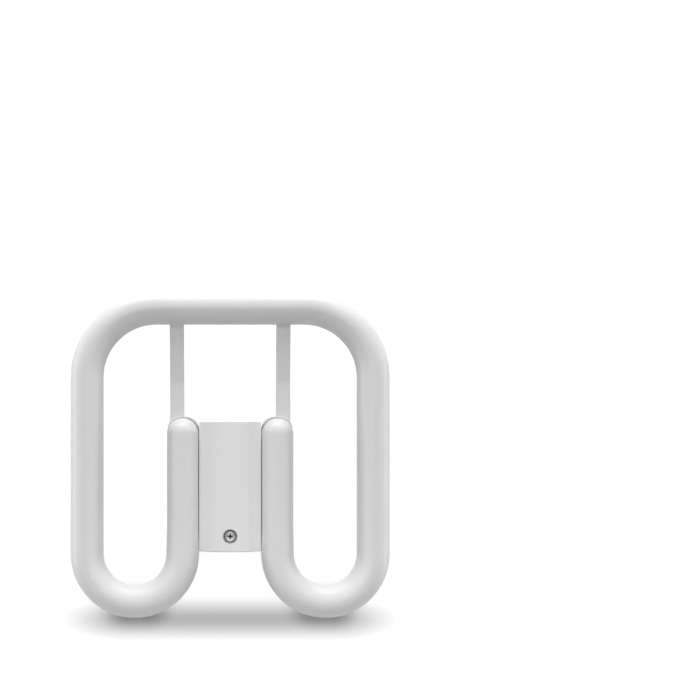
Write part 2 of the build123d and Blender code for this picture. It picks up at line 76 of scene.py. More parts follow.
MM = 0.001
MICRON = 0.000001
MERGE = 0.000015  # how near two drawn points count as one
COPY_MERGE = 0.000002  # the same in a copy of a frame node
FINE = 0.000001  # how near a cutting plane a point counts as on it
FLAT_DEGREES = 0.2  # how far neighbouring faces of a copy turn and still count as one
UPRIGHT = 0.99  # least part of an edge's direction that makes it upright
LENGTHWISE = 0.995  # the same for an edge along the cap
FACING_UP = 0.9  # least part of a face's normal that makes it a top
CROWN_TURN = pi / 3  # turn of the arc that domes the screw's head
CROWN_STEPS = 8

SMOOTH = "SMOOTHSTEP"
NUMBER = "NodeSocketFloat"
COLOUR = "NodeSocketColor"
VECTOR = "NodeSocketVector"
WHITE = (1, 1, 1, 1)

# The camera's sensor in millimetres, the picture's width in pixels, and how many of them the
# lamp's middle lies left of and below the picture's middle
SENSOR = 36.0
PICTURE = 700
LAMP_LEFT = 119.85
LAMP_DOWN = 104.75


# Kinds of property


def length(label, text, value_mm, low_mm=0.01, high_mm=300.0):
    """A length property, with its default given in millimetres."""
    return FloatProperty(name=label, description=text, default=value_mm * MM, min=low_mm * MM,
                         max=high_mm * MM, precision=5, unit="LENGTH", subtype="DISTANCE")


def power(label, text, value):
    """A lamp's power in watts."""
    return FloatProperty(name=label, description=text, default=value, min=0.0, unit="POWER")


def factor(label, text, value, high=1.0):
    """A plain factor."""
    return FloatProperty(name=label, description=text, default=value, min=0.0, max=high,
                         subtype="FACTOR")


def tint(label, text, value):
    """A colour property."""
    return FloatVectorProperty(name=label, description=text, default=value, size=3, min=0.0,
                               max=1.0, subtype="COLOR")


def count(label, text, value, low, high):
    """A number of points or steps."""
    return IntProperty(name=label, description=text, default=value, min=low, max=high)


# Modelling as by hand


def object_mode():
    """Leave edit mode and deselect everything, the frame's nodes too."""
    if bpy.context.mode != "OBJECT":
        bpy.ops.object.mode_set(mode="OBJECT")
    bpy.ops.object.select_all(action="DESELECT")


def only(piece):
    """Make one piece the selected and active one."""
    object_mode()
    piece.select_set(True)
    bpy.context.view_layer.objects.active = piece


def whole():
    """Select all of the piece in edit mode."""
    bpy.ops.mesh.select_all(action="SELECT")


def edit_all(piece):
    """Open one piece in edit mode with all of it selected."""
    only(piece)
    bpy.ops.object.mode_set(mode="EDIT")
    whole()


def begin(name):
    """Name the new primitive, apply its place and open it in edit mode with all of it selected."""
    piece = bpy.context.object
    piece.name = name
    piece.data.name = name
    bpy.ops.object.transform_apply(location=True, rotation=True, scale=True)
    bpy.ops.object.mode_set(mode="EDIT")
    bpy.ops.mesh.select_mode(type="VERT")
    whole()
    return piece


def pick(test):
    """Select just the vertices that pass a test of their place."""
    data = bpy.context.object.data
    grid = bmesh.from_edit_mesh(data)
    bpy.ops.mesh.select_all(action="DESELECT")
    for vertex in grid.verts:
        vertex.select = test(vertex.co)
    grid.select_flush(True)
    bmesh.update_edit_mesh(data)


def pick_edges(test):
    """Select just the edges whose middle and direction pass a test."""
    data = bpy.context.object.data
    grid = bmesh.from_edit_mesh(data)
    bpy.ops.mesh.select_all(action="DESELECT")
    bpy.ops.mesh.select_mode(type="EDGE")
    for edge in grid.edges:
        first, second = (vertex.co for vertex in edge.verts)
        edge.select = test((first + second) / 2, (second - first).normalized())
    bmesh.update_edit_mesh(data)


def draw(dx=0.0, dy=0.0, dz=0.0):
    """Extrude what is selected by a step."""
    bpy.ops.mesh.extrude_region_move(TRANSFORM_OT_translate={"value": (dx, dy, dz)})


def widen(factors, centre):
    """Scale what is selected about a point."""
    bpy.ops.transform.resize(value=factors, center_override=centre)


def spin(steps, angle, centre):
    """Carry what is selected round an upright axis."""
    bpy.ops.mesh.spin(steps=steps, angle=angle, center=centre, axis=(0, 0, 1))


def cut(place, normal, **settings):
    """Cut across all that is selected at a plane."""
    bpy.ops.mesh.bisect(plane_co=place, plane_no=normal, threshold=FINE, **settings)


def merge_all(distance=MERGE):
    """Merge the points of the whole piece that lie together."""
    whole()
    bpy.ops.mesh.remove_doubles(threshold=distance)


def face_outwards():
    """Turn every face of the piece outwards."""
    whole()
    bpy.ops.mesh.normals_make_consistent(inside=False)


def apply_step(piece, kind, **settings):
    """Add a modifier with its settings and apply it."""
    only(piece)
    step = piece.modifiers.new(kind.lower(), kind)
    for name, value in settings.items():
        setattr(step, name, value)
    bpy.ops.object.modifier_apply(modifier=step.name)


def combine(piece, tool, operation):
    """Join a tool to the piece or cut it away, and remove the tool."""
    apply_step(piece, "BOOLEAN", operation=operation, solver="EXACT", object=tool)
    bpy.data.objects.remove(tool)


def join(piece, others):
    """Join loose pieces into one mesh."""
    only(piece)
    for other in others:
        other.select_set(True)
    bpy.ops.object.join()


def bar(name, low, high):
    """Square-edged bar between two corners."""
    middle = [(a + b) / 2 for a, b in zip(low, high)]
    size = [b - a for a, b in zip(low, high)]
    object_mode()
    bpy.ops.mesh.primitive_cube_add(size=1.0, location=middle, scale=size)
    return begin(name)


def turned(name, x, y, rings, points=48):
    """Round piece on an upright axis, drawn up from its first ring through the others."""
    radius, height = rings[0]
    object_mode()
    bpy.ops.mesh.primitive_circle_add(vertices=points, radius=radius, fill_type="NGON",
                                      location=(x, y, height))
    piece = begin(name)
    for next_radius, next_height in rings[1:]:
        draw(dz=next_height - height)
        widen((next_radius / radius, next_radius / radius, 1), (x, y, next_height))
        radius, height = next_radius, next_height
    face_outwards()
    object_mode()
    return piece


def open_arc(name, points, radius, place, turn, height, keep_above=True):
    """Arc of an upright circle, cut off at a height and left in edit mode."""
    object_mode()
    bpy.ops.mesh.primitive_circle_add(vertices=points, radius=radius, fill_type="NOTHING",
                                      location=place, rotation=turn)
    arc = begin(name)
    cut((0, 0, height), (0, 0, 1), clear_inner=keep_above, clear_outer=not keep_above)
    return arc


def rounding(radius, end, edge, steps=5):
    """Rings of a rounded rim that ends at a height, from the end face outwards."""
    turns = [index * pi / 2 / steps for index in range(steps + 1)]
    return [(radius - abs(edge) * (1 - sin(turn)), end + edge * (1 - cos(turn)))
            for turn in turns]


def merged_copy(node, name):
    """A merged copy of a frame node, its flat faces made whole."""
    object_mode()
    piece = bpy.data.objects.new(name, frame["nodes"][node].data.copy())
    piece.data.name = name
    bpy.context.scene.collection.objects.link(piece)
    edit_all(piece)
    merge_all(COPY_MERGE)
    bpy.ops.mesh.dissolve_limited(angle_limit=radians(FLAT_DEGREES))
    object_mode()
    return piece


def wear(piece, *finishes):
    """Give a piece these finishes in place of those that it has."""
    piece.data.materials.clear()
    for finish in finishes:
        piece.data.materials.append(bpy.data.materials[finish])


def finish_piece(piece, finish, nodes, smooth_angle=35.0, weighted=False):
    """Close up a modelled piece and hand it to the frame."""
    only(piece)
    bpy.ops.object.shade_smooth_by_angle(angle=radians(smooth_angle))
    if weighted:
        apply_step(piece, "WEIGHTED_NORMAL", keep_sharp=True, weight=50)
    if finish:
        wear(piece, finish)
    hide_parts(*nodes)
    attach(piece, "root")
    piece.select_set(False)


# Tube


def move_ends(half_width, half_target, centre_y, height, rise=0.0):
    """Draw both ends of the section to a new half width, and up or down."""
    draw()
    widen((1, half_target / half_width, 1), (0, centre_y, height))
    if rise:
        bpy.ops.transform.translate(value=(0, 0, rise))


def carry_round(sizes, centre_y, centre_z):
    """Carry the selected section along the right half of the tube, its leg and its domed end."""
    radius = sizes.tube_diameter / 2
    leg_radius = sizes.leg_diameter / 2
    side_x = tube_high.x - radius
    leg_x = sizes.leg_spacing / 2
    corner_x = side_x - sizes.corner_radius
    corner_y = centre_y - sizes.corner_radius
    bend_radius = (side_x - leg_x) / 2
    bend_x = (side_x + leg_x) / 2
    bend_y = tube_low.y + radius + bend_radius
    leg_start_y = bend_y + sizes.taper_length
    dome_y = sizes.leg_top - leg_radius
    draw(dx=corner_x)
    spin(sizes.corner_steps, pi / 2, (corner_x, corner_y, centre_z))
    draw(dy=bend_y - corner_y)
    spin(sizes.bend_steps, pi, (bend_x, bend_y, centre_z))
    draw(dy=sizes.taper_length)
    widen((leg_radius / radius, 1, leg_radius / radius), (leg_x, leg_start_y, centre_z))
    draw(dy=dome_y - leg_start_y)
    pick(lambda place: abs(place.y - dome_y) < MERGE
         and leg_x - MERGE < place.x < leg_x + 2 * radius)
    spin(sizes.dome_steps, -pi, (leg_x, dome_y, centre_z))
    merge_all()


def tube_half(name, sizes, front):
    """One half of the tube: its wall's section drawn with the lap, then carried round the lamp."""
    radius = sizes.tube_diameter / 2
    inner = radius - sizes.tube_wall
    centre_y = tube_high.y - radius
    centre_z = tube_high.z - radius
    edge = sizes.lap_edge
    gap = 0.0 if front else sizes.lap_gap
    rim_z = centre_z - sizes.lap_depth - gap
    cut_z = rim_z + (edge if front else -edge)
    step = radius - sizes.lap_wall - gap
    top_z = centre_z - gap / 4
    points, middle, turn = sizes.section_points, (0, centre_y, centre_z), (0, pi / 2, 0)
    lining = open_arc("lining", points, inner, middle, turn, top_z, front)
    wall = open_arc(name, points, radius, middle, turn, cut_z, front)
    pick(lambda place: abs(place.z - cut_z) < MERGE)
    wall_end = sqrt(radius ** 2 - (cut_z - centre_z) ** 2)
    rim_end = wall_end - edge
    lining_end = sqrt(inner ** 2 - (top_z - centre_z) ** 2)
    move_ends(wall_end, rim_end, centre_y, cut_z, rim_z - cut_z)
    move_ends(rim_end, step, centre_y, rim_z)
    draw(dz=top_z - rim_z)
    move_ends(step, lining_end, centre_y, top_z)
    join(wall, [lining])
    edit_all(wall)
    merge_all()
    carry_round(sizes, centre_y, centre_z)
    apply_step(wall, "MIRROR", merge_threshold=MERGE)
    edit_all(wall)
    merge_all()
    face_outwards()
    object_mode()
    return wall


# Cap


def arched_bar(name, sizes, inset, low_z):
    """Bar with the cover's arched front, its end profile drawn out from the arc of the crest."""
    arc_radius = (sizes.crease_half ** 2 + sizes.crest_rise ** 2) / (2 * sizes.crest_rise)
    arc_z = cap_high.z - arc_radius
    half = cap_high.x - inset
    slope = sizes.crease_fall / (cap_high.x - sizes.crease_half)
    crease_x = sizes.crease_half * (arc_radius - inset) / arc_radius
    crease_z = arc_z + sqrt((arc_radius - inset) ** 2 - crease_x ** 2)
    flank_z = crease_z - slope * (half - crease_x)
    low_y = cap_low.y + inset
    piece = open_arc(name, sizes.crest_points, arc_radius - inset, (0, low_y, arc_z),
                     (pi / 2, 0, 0), crease_z)
    pick(lambda place: abs(place.z - crease_z) < MERGE)
    draw()
    widen((half / crease_x, 1, 1), (0, low_y, crease_z))
    bpy.ops.transform.translate(value=(0, 0, flank_z - crease_z))
    draw(dz=low_z - flank_z)
    whole()
    bpy.ops.mesh.edge_face_add()
    draw(dy=cap_high.y - cap_low.y - 2 * inset)
    face_outwards()
    return piece


def cover(sizes):
    """Arched front cover: its outside and lip, hollowed, with the sunk seat of the screw."""
    screw_y = cap_low.y + sizes.screw_from_end
    joint = sizes.joint_height
    flank_z = cap_high.z - sizes.crest_rise - sizes.crease_fall
    piece = arched_bar("cap_front", sizes, 0.0, joint)
    for offset in (-sizes.seat_margin, sizes.seat_margin):
        whole()
        cut((0, screw_y + offset, 0), (0, 1, 0))
    middle_y = (cap_low.y + cap_high.y) / 2
    end_reach = cap_high.y - middle_y - sizes.corner_edge
    pick_edges(lambda middle, way: abs(way.z) > UPRIGHT and abs(middle.x) > cap_high.x - MERGE
               and abs(middle.y - middle_y) > end_reach)
    bpy.ops.mesh.bevel(offset=sizes.corner_edge, segments=4)
    pick_edges(lambda middle, way: abs(middle.y - middle_y) > end_reach
               and middle.z > flank_z - MERGE and abs(way.y) < LENGTHWISE)
    bpy.ops.mesh.bevel(offset=sizes.rim_edge, segments=5)
    pick_edges(lambda middle, way: middle.z < joint + MERGE)
    bpy.ops.mesh.bevel(offset=sizes.joint_edge, segments=1)
    object_mode()
    inset = sizes.lip_inset
    lip = bar("lip", (-cap_high.x + inset, cap_low.y + inset, cap_low.z),
              (cap_high.x - inset, cap_high.y - inset, joint + inset))
    hollow = arched_bar("hollow", sizes, sizes.cover_wall, cap_low.z - inset)
    boss_radius = sizes.seat_radius + sizes.boss_wall
    boss_rings = [(boss_radius, sizes.boss_foot), (boss_radius, cap_high.z - sizes.boss_wall)]
    boss = turned("boss", 0, screw_y, boss_rings)
    seat_rings = rounding(sizes.seat_radius, sizes.seat_height, sizes.seat_round)
    seat_rings.append((sizes.seat_radius, cap_high.z + sizes.boss_wall))
    seat = turned("seat", 0, screw_y, seat_rings, points=64)
    passage_rings = [(sizes.pass_radius, cap_low.z), (sizes.pass_radius, cap_high.z)]
    passage = turned("passage", 0, screw_y, passage_rings)
    for tool, operation in ((lip, "UNION"), (hollow, "DIFFERENCE"), (boss, "UNION"),
                            (seat, "DIFFERENCE"), (passage, "DIFFERENCE")):
        combine(piece, tool, operation)
    return piece


def groove_saddle_rims(piece, sizes):
    """Narrow groove round each dome, where the saddle's end stands clear of it."""
    dome_y = sizes.leg_top - sizes.leg_diameter / 2
    face_z = sizes.saddle_face
    inside = sizes.leg_diameter / 2 - sizes.rim_undercut
    outside = sizes.leg_diameter / 2 + sizes.rim_gap
    rings = [(inside, face_z - sizes.rim_gap), (outside, face_z - sizes.rim_depth),
             (outside, face_z + MERGE)]
    for x in (-sizes.leg_spacing / 2, sizes.leg_spacing / 2):
        groove = turned("groove", x, dome_y, rings, points=96)
        edit_all(groove)
        cut((0, dome_y, 0), (0, 1, 0), clear_inner=True, use_fill=True)
        object_mode()
        combine(piece, groove, "DIFFERENCE")


def screw(sizes):
    """Pan-head screw: head and shank turned in one, with a tapered cross recess."""
    x, y = 0, cap_low.y + sizes.screw_from_end
    seat = sizes.seat_height
    radius, top = screw_high.x, screw_high.z
    dome = sizes.screw_crown / (1 - cos(CROWN_TURN))
    crown = [(radius * sin(turn) / sin(CROWN_TURN), top - dome * (1 - cos(turn)))
             for turn in (index * CROWN_TURN / CROWN_STEPS
                          for index in range(CROWN_STEPS, 0, -1))]
    shank, tip = sizes.screw_shank, screw_low.z
    rings = [(sizes.screw_point, tip), (shank, tip + sizes.point_length),
             (shank, seat - sizes.neck_length), (shank, seat), (radius - sizes.seat_round, seat),
             (radius, seat + sizes.seat_round)]
    piece = turned("cover_screw_turned", x, y, rings + crown, points=64)
    half, wide, deep = sizes.recess_length / 2, sizes.recess_width / 2, sizes.recess_depth
    for half_x, half_y in ((half, wide), (wide, half)):
        arm = bar("recess", (x - half_x, y - half_y, top - deep),
                  (x + half_x, y + half_y, top + deep))
        pick(lambda place: place.z < top)
        widen((sizes.recess_taper, sizes.recess_taper, 1), (x, y, top - deep))
        object_mode()
        combine(piece, arm, "DIFFERENCE")
    return piece


def contact_pin(sizes):
    """Round-nosed contact pin with its shoulder under the well's roof."""
    x, y = (pin_low.x + pin_high.x) / 2, (pin_low.y + pin_high.y) / 2
    collar = (pin_high.x - pin_low.x) / 2
    roof, roof_top = sizes.well_depth, sizes.well_depth + sizes.well_roof
    collar_top = roof_top + sizes.pin_collar
    rings = rounding(sizes.pin_radius, pin_low.z, sizes.pin_nose, steps=6)
    rings += [(sizes.pin_radius, roof), (sizes.pin_neck, roof), (sizes.pin_neck, roof_top),
              (collar, roof_top), (collar, collar_top), (sizes.pin_tail, collar_top),
              (sizes.pin_tail, pin_high.z)]
    return turned("contact_right", x, y, rings, points=40)


# Finishes


def feed(tree, node, inputs):
    """Link each socket, or set each value, to the node's input of that name or number."""
    for place, value in inputs.items():
        if isinstance(value, bpy.types.NodeSocket):
            tree.links.new(value, node.inputs[place])
        else:
            node.inputs[place].default_value = value


def add(tree, kind, inputs=None, **settings):
    """A node of a kind, with its settings and its inputs."""
    node = tree.nodes.new(kind)
    for name, value in settings.items():
        setattr(node, name, value)
    feed(tree, node, inputs or {})
    return node


def maths(tree, operation, *values):
    """The result of a sum on sockets and values."""
    return add(tree, "ShaderNodeMath", dict(enumerate(values)), operation=operation).outputs[0]


def object_place(tree):
    """The place of a shaded point in the object's own coordinates."""
    return add(tree, "ShaderNodeTexCoord").outputs["Object"]


def ramp(tree, value, low, high, to_low=0.0, to_high=1.0, curve="LINEAR"):
    """Map a value from one range to another, level beyond both ends."""
    inputs = {"Value": value, "From Min": low, "From Max": high, "To Min": to_low,
              "To Max": to_high}
    return add(tree, "ShaderNodeMapRange", inputs, interpolation_type=curve).outputs["Result"]


def distance(tree, place):
    """How far a place is from the origin."""
    return add(tree, "ShaderNodeVectorMath", {0: place}, operation="LENGTH").outputs["Value"]


def blend(tree, share, first, second):
    """Blend two colours by a share of the second."""
    inputs = {"Factor": share, "A": first, "B": second}
    return add(tree, "ShaderNodeMix", inputs, data_type="RGBA").outputs["Result"]


def noise(tree, place, scale, detail, rough=0.5):
    """Noise with so many repeats per metre."""
    inputs = {"Vector": place, "Scale": scale, "Detail": detail, "Roughness": rough}
    return add(tree, "ShaderNodeTexNoise", inputs).outputs["Fac"]


def new_group(name, inputs, outputs):
    """An empty shader group with named sockets, its own inputs and its output node."""
    group = bpy.data.node_groups.new(name, "ShaderNodeTree")
    for label, kind, value in inputs:
        socket = group.interface.new_socket(name=label, in_out="INPUT", socket_type=kind)
        socket.default_value = value
    for label, kind in outputs:
        group.interface.new_socket(name=label, in_out="OUTPUT", socket_type=kind)
    inside = group.nodes.new("NodeGroupInput").outputs
    return group, inside, group.nodes.new("NodeGroupOutput")


def per_metre(group, size_mm):
    """Repeats per metre of a size in millimetres."""
    return maths(group, "DIVIDE", 1000.0, size_mm)


def gloss_drift(group, cloud, inside):
    """Roughness that drifts with a cloud between the group's two values."""
    return ramp(group, cloud, 0.3, 0.7, inside["Rough low"], inside["Rough high"])


def moulded_grain():
    """Fine grain that a mould's spark-eroded face leaves: a height and a roughness drift."""
    group, inside, out = new_group(
        "Moulded grain",
        [("Grain size", NUMBER, 0.3), ("Rough low", NUMBER, 0.3), ("Rough high", NUMBER, 0.45)],
        [("Height", NUMBER), ("Roughness", NUMBER)])
    place = object_place(group)
    fine = noise(group, place, per_metre(group, inside["Grain size"]), detail=3.0, rough=0.6)
    broad = noise(group, place, scale=55.0, detail=4.0)
    feed(group, out, {"Height": fine, "Roughness": gloss_drift(group, broad, inside)})


def tone_drift():
    """Slow drift between two near colours, as plastic has from its flow in the mould."""
    grey = (0.8, 0.8, 0.8, 1)
    group, inside, out = new_group(
        "Tone drift",
        [("First", COLOUR, grey), ("Second", COLOUR, grey), ("Patches per metre", NUMBER, 22.0)],
        [("Color", COLOUR)])
    cloud = noise(group, object_place(group), inside["Patches per metre"], detail=3.0)
    feed(group, out, {"Color": blend(group, cloud, inside["First"], inside["Second"])})


def drawn_streaks():
    """Fine streaks that turning or drawing leaves in metal: a height and a gloss drift."""
    group, inside, out = new_group(
        "Drawn streaks",
        [("Stretch", VECTOR, (1.0, 1.0, 1.0)), ("Streak size", NUMBER, 0.1),
         ("Rough low", NUMBER, 0.2), ("Rough high", NUMBER, 0.35)],
        [("Height", NUMBER), ("Roughness", NUMBER)])
    stretched = add(group, "ShaderNodeVectorMath", {0: object_place(group), 1: inside["Stretch"]},
                    operation="MULTIPLY").outputs[0]
    streak = noise(group, stretched, per_metre(group, inside["Streak size"]), detail=4.0)
    feed(group, out, {"Height": streak, "Roughness": gloss_drift(group, streak, inside)})


def board_tracks():
    """Mask of the copper tracks that show through a board's solder mask."""
    group, inside, out = new_group("Board tracks", [("Track pitch", NUMBER, 2.0)],
                                   [("Tracks", NUMBER)])
    cells = add(group, "ShaderNodeTexVoronoi",
                {"Vector": object_place(group), "Scale": per_metre(group, inside["Track pitch"])},
                feature="F1", distance="CHEBYCHEV").outputs["Distance"]
    feed(group, out, {"Tracks": ramp(group, cells, 0.36, 0.42, curve=SMOOTH)})


def use_group(tree, name, **values):
    """The outputs of a shader group placed in a material with its own values."""
    inputs = {label.replace("_", " "): value for label, value in values.items()}
    return add(tree, "ShaderNodeGroup", inputs, node_tree=bpy.data.node_groups[name]).outputs


def new_material(name):
    """The nodes and the Principled shader of a new material."""
    material = bpy.data.materials.new(name)
    material.use_nodes = True
    return material.node_tree, material.node_tree.nodes["Principled BSDF"]


def scaled(colour, share):
    """A colour lightened or darkened."""
    return tuple(min(1.0, channel * share) for channel in colour)


def solid(colour, share=1.0):
    """A colour lightened or darkened, with its alpha."""
    return scaled(colour, share) + (1.0,)


def dress(tree, shader, colour, roughness, height, rise):
    """Feed the shader a colour, a roughness and a height that rises so far."""
    bump = add(tree, "ShaderNodeBump", {"Height": height, "Distance": rise, "Strength": 1.0})
    feed(tree, shader, {"Base Color": colour, "Roughness": roughness,
                        "Normal": bump.outputs["Normal"]})


def grained(tree, name, rough, **values):
    """The outputs of a grain's group over a range of roughness."""
    return use_group(tree, name, Rough_low=rough[0], Rough_high=rough[1], **values)


def plastic(name, colour, rough, grain_mm, rise, drift=0.03, scatter=0.0, coat=0.0):
    """Moulded plastic: colour drift, fine grain in the height and a drift of the gloss."""
    tree, shader = new_material(name)
    tone = use_group(tree, "Tone drift", First=solid(colour, 1 - drift),
                     Second=solid(colour, 1 + drift / 2))
    grain = grained(tree, "Moulded grain", rough, Grain_size=grain_mm)
    dress(tree, shader, tone["Color"], grain["Roughness"], grain["Height"], rise)
    if scatter:
        feed(tree, shader, {"Subsurface Weight": scatter, "Subsurface Scale": 2 * MM,
                            "Subsurface Radius": (1.0, 1.0, 1.0)})
    if coat:
        feed(tree, shader, {"Coat Weight": coat, "Coat Roughness": 0.08})


def metal(name, colour, rough, stretch, streak_mm, drift=0.08):
    """Plated metal with streaks along its working direction."""
    tree, shader = new_material(name)
    tone = use_group(tree, "Tone drift", First=solid(colour, 1 - drift),
                     Second=solid(colour, 1 + drift), Patches_per_metre=600.0)
    streaks = grained(tree, "Drawn streaks", rough, Stretch=stretch, Streak_size=streak_mm)
    dress(tree, shader, tone["Color"], streaks["Roughness"], streaks["Height"], 4 * MICRON)
    feed(tree, shader, {"Metallic": 1.0})
    return tree, shader, tone["Color"]


def steel_with_painted_shade(name, colour, rough, streak_mm, screw_y):
    """Plated steel, with painted shade on the steep rim of the screw's head and down in its recess.
    """
    tree, shader, tone = metal(name, colour, rough, (1.0, 1.0, 1.0), streak_mm)
    from_axis = add(tree, "ShaderNodeVectorMath", {0: object_place(tree), 1: (0, screw_y, 0)},
                    operation="SUBTRACT").outputs[0]
    axes = add(tree, "ShaderNodeSeparateXYZ", {0: from_axis}).outputs
    flat = add(tree, "ShaderNodeCombineXYZ", {"X": axes["X"], "Y": axes["Y"]}).outputs[0]
    edge, top = screw_high.x, screw_high.z
    # Painted shade: the rim darkens over the last seventh of the radius, the recess from 0.35 mm
    # down
    rim = ramp(tree, distance(tree, flat), 0.86 * edge, 0.93 * edge, curve=SMOOTH)
    deep = ramp(tree, axes["Z"], top - 0.35 * MM, top - 1.05 * MM, curve=SMOOTH)
    # The near-black blended in below is painted shade, in place of the shadow in the counterbore's
    # gap and the recess
    dark = maths(tree, "MAXIMUM", rim, deep)
    feed(tree, shader, {"Base Color": blend(tree, dark, tone, (0.05, 0.05, 0.052, 1))})


def two_tone(tree, shader, mask, first, second, grain_mm, rough, height, rise):
    """Two colours by a mask, with the moulded grain's roughness and a height."""
    colour = blend(tree, mask, solid(first), solid(second))
    grain = grained(tree, "Moulded grain", rough, Grain_size=grain_mm)
    dress(tree, shader, colour, grain["Roughness"], height, rise)


def board(name, mask_colour, track_colour, pitch_mm, rough):
    """Circuit board: tracks under a coloured mask."""
    tree, shader = new_material(name)
    tracks = use_group(tree, "Board tracks", Track_pitch=pitch_mm)["Tracks"]
    two_tone(tree, shader, tracks, mask_colour, track_colour, grain_mm=0.2, rough=rough,
             height=tracks, rise=20 * MICRON)


def banded(name, first, second, axis, pitch, sharp, rough, rise, metallic=0.0):
    """Bands across one axis, such as the turns of a winding or the rings on a resistor."""
    tree, shader = new_material(name)
    bands = add(tree, "ShaderNodeTexWave",
                {"Vector": object_place(tree), "Scale": pi / 10 / pitch, "Distortion": 0.15,
                 "Detail Scale": 2.0}, wave_type="BANDS", bands_direction=axis).outputs["Fac"]
    edge = ramp(tree, bands, 0.5 - sharp, 0.5 + sharp, curve=SMOOTH)
    two_tone(tree, shader, edge, first, second, grain_mm=0.1, rough=rough, height=bands, rise=rise)
    feed(tree, shader, {"Metallic": metallic})


def speckled(name, colour, fleck, size_mm, rough):
    """Sintered or filled material with small flecks."""
    tree, shader = new_material(name)
    flecks = add(tree, "ShaderNodeTexVoronoi",
                 {"Vector": object_place(tree), "Scale": 1000.0 / size_mm}).outputs["Distance"]
    edge = ramp(tree, flecks, 0.15, 0.3, curve=SMOOTH)
    two_tone(tree, shader, edge, fleck, colour, size_mm, rough, flecks, 6 * MICRON)


# Stage


def soft_spot(tree, across, along, level_to, fades_at, middle, half_depth):
    """Mask that is one on a level stretch and fades softly to its sides."""
    side = ramp(tree, across, level_to, fades_at)
    depth = maths(tree, "DIVIDE", maths(tree, "SUBTRACT", along, middle), half_depth)
    place = add(tree, "ShaderNodeCombineXYZ", {"X": side, "Y": depth}).outputs[0]
    return ramp(tree, distance(tree, place), 0.0, 1.0, 1.0, 0.0, SMOOTH)


def floor_material(stage):
    """Pale floor that the picture sees as white, with a soft shadow painted below the lamp's bends.
    """
    tree, shader = new_material("Floor")
    place = object_place(tree)
    axes = add(tree, "ShaderNodeSeparateXYZ", {0: place}).outputs
    across = maths(tree, "ABSOLUTE", axes["X"])
    from_bend = maths(tree, "ABSOLUTE", maths(tree, "SUBTRACT", across, 42 * MM))
    # Painted shadow: a wide soft band below the lamp and darker spots under each bend
    wide = soft_spot(tree, across, axes["Y"], level_to=46 * MM, fades_at=84 * MM,
                     middle=-74.3 * MM, half_depth=12.4 * MM)
    dark = soft_spot(tree, from_bend, axes["Y"], level_to=4 * MM, fades_at=20 * MM,
                     middle=-68 * MM, half_depth=14 * MM)
    total = maths(tree, "MULTIPLY_ADD", dark, stage.painted_shadow_share, wide)
    light = ramp(tree, total, 0.0, 2.0, 1.0, 1.0 - 2.0 * stage.painted_shadow_depth)
    path = add(tree, "ShaderNodeLightPath").outputs
    seen = maths(tree, "MAXIMUM", path["Is Camera Ray"], path["Is Glossy Ray"])
    away = distance(tree, place)
    level = ramp(tree, away, stage.glow_rise, stage.glow_full, stage.floor_glow)
    # The painted shadow darkens both the floor's glow and its colour
    glow = maths(tree, "MULTIPLY", maths(tree, "MULTIPLY", seen, level), light)
    colour = blend(tree, light, (0, 0, 0, 1), (0.3, 0.3, 0.3, 1))
    feed(tree, shader, {"Base Color": colour, "Roughness": 0.9, "Emission Color": WHITE,
                        "Emission Strength": glow})


def soft_light(name, place, size, watts):
    """Rectangular light that faces the lamp's middle."""
    turn = (Vector((0, 0, 20 * MM)) - Vector(place)).to_track_quat("-Z", "Y").to_euler()
    bpy.ops.object.light_add(type="AREA", location=place, rotation=turn)
    light = bpy.context.object
    light.name = name
    light.visible_camera = False
    light.data.shape = "RECTANGLE"
    light.data.size, light.data.size_y = size
    light.data.energy = watts


